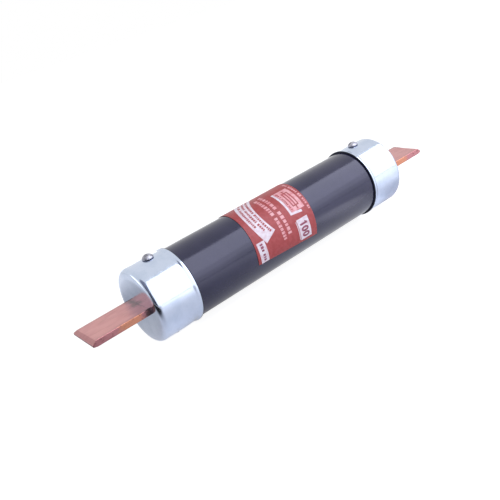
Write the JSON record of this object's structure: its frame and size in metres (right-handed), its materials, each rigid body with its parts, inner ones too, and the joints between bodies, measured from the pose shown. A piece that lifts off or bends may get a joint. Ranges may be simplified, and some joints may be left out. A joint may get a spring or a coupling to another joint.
{
  "type": "cartridge fuse",
  "caption": "knife-blade cartridge fuse with plated end caps, a dark insulating tube, a red wrap label and a spring-loaded time-delay trigger inside",
  "frame": {"origin": "centre of the fuse, on the tube's axis, halfway between the two blade tips", "axes": "+X along the fuse from the left blade's tip to the right blade's tip, +Z normal to the blades' flats and along the drive pins, +Y across the blades"},
  "size_m": [0.2002, 0.034, 0.0378],
  "materials": {
    "tube": "dark satin moulded insulating tube",
    "label": "printed red paper, slightly coated",
    "cap": "bright plated drawn brass",
    "pin": "bright plated steel",
    "blade": "copper, rolled and sheared, slightly toned",
    "block": "turned brass",
    "gasket": "vulcanised fibre",
    "disc": "vulcanised fibre",
    "link": "thin pierced copper strip",
    "sand": "packed quartz sand",
    "sleeve": "wound paper-phenolic tube",
    "housing": "drawn brass",
    "plunger": "turned brass",
    "spring": "hard-drawn spring wire",
    "collector": "turned copper",
    "alloy": "low-melting solder"
  },
  "bodies": {
    "fuse_body": {"cap_left": "cap", "blade_left": "blade", "cap_pins_left": "pin", "cap_gasket_left": "gasket", "terminal_block_left": "block", "fill_plug_left": "block", "fuse_link_left": "link", "sand_fill_left": "sand", "barrier_disc_left": "disc", "cap_right": "cap", "blade_right": "blade", "cap_pins_right": "pin", "cap_gasket_right": "gasket", "terminal_block_right": "block", "fill_plug_right": "block", "fuse_link_right": "link", "sand_fill_right": "sand", "barrier_disc_right": "disc", "tube": "tube", "label": "label", "overload_sleeve": "sleeve", "trigger_housing": "housing", "housing_cap": "housing", "trigger_spring": "spring", "heat_collector": "collector", "fusible_alloy": "alloy"},
    "trigger": {"trigger_plunger": "plunger"}
  },
  "joints": [
    {"name": "trigger_release", "type": "slide", "parent": "fuse_body", "child": "trigger", "axis": [-1, 0, 0], "range_m": [0, 0.008], "deforming": ["trigger_spring"]}
  ]
}
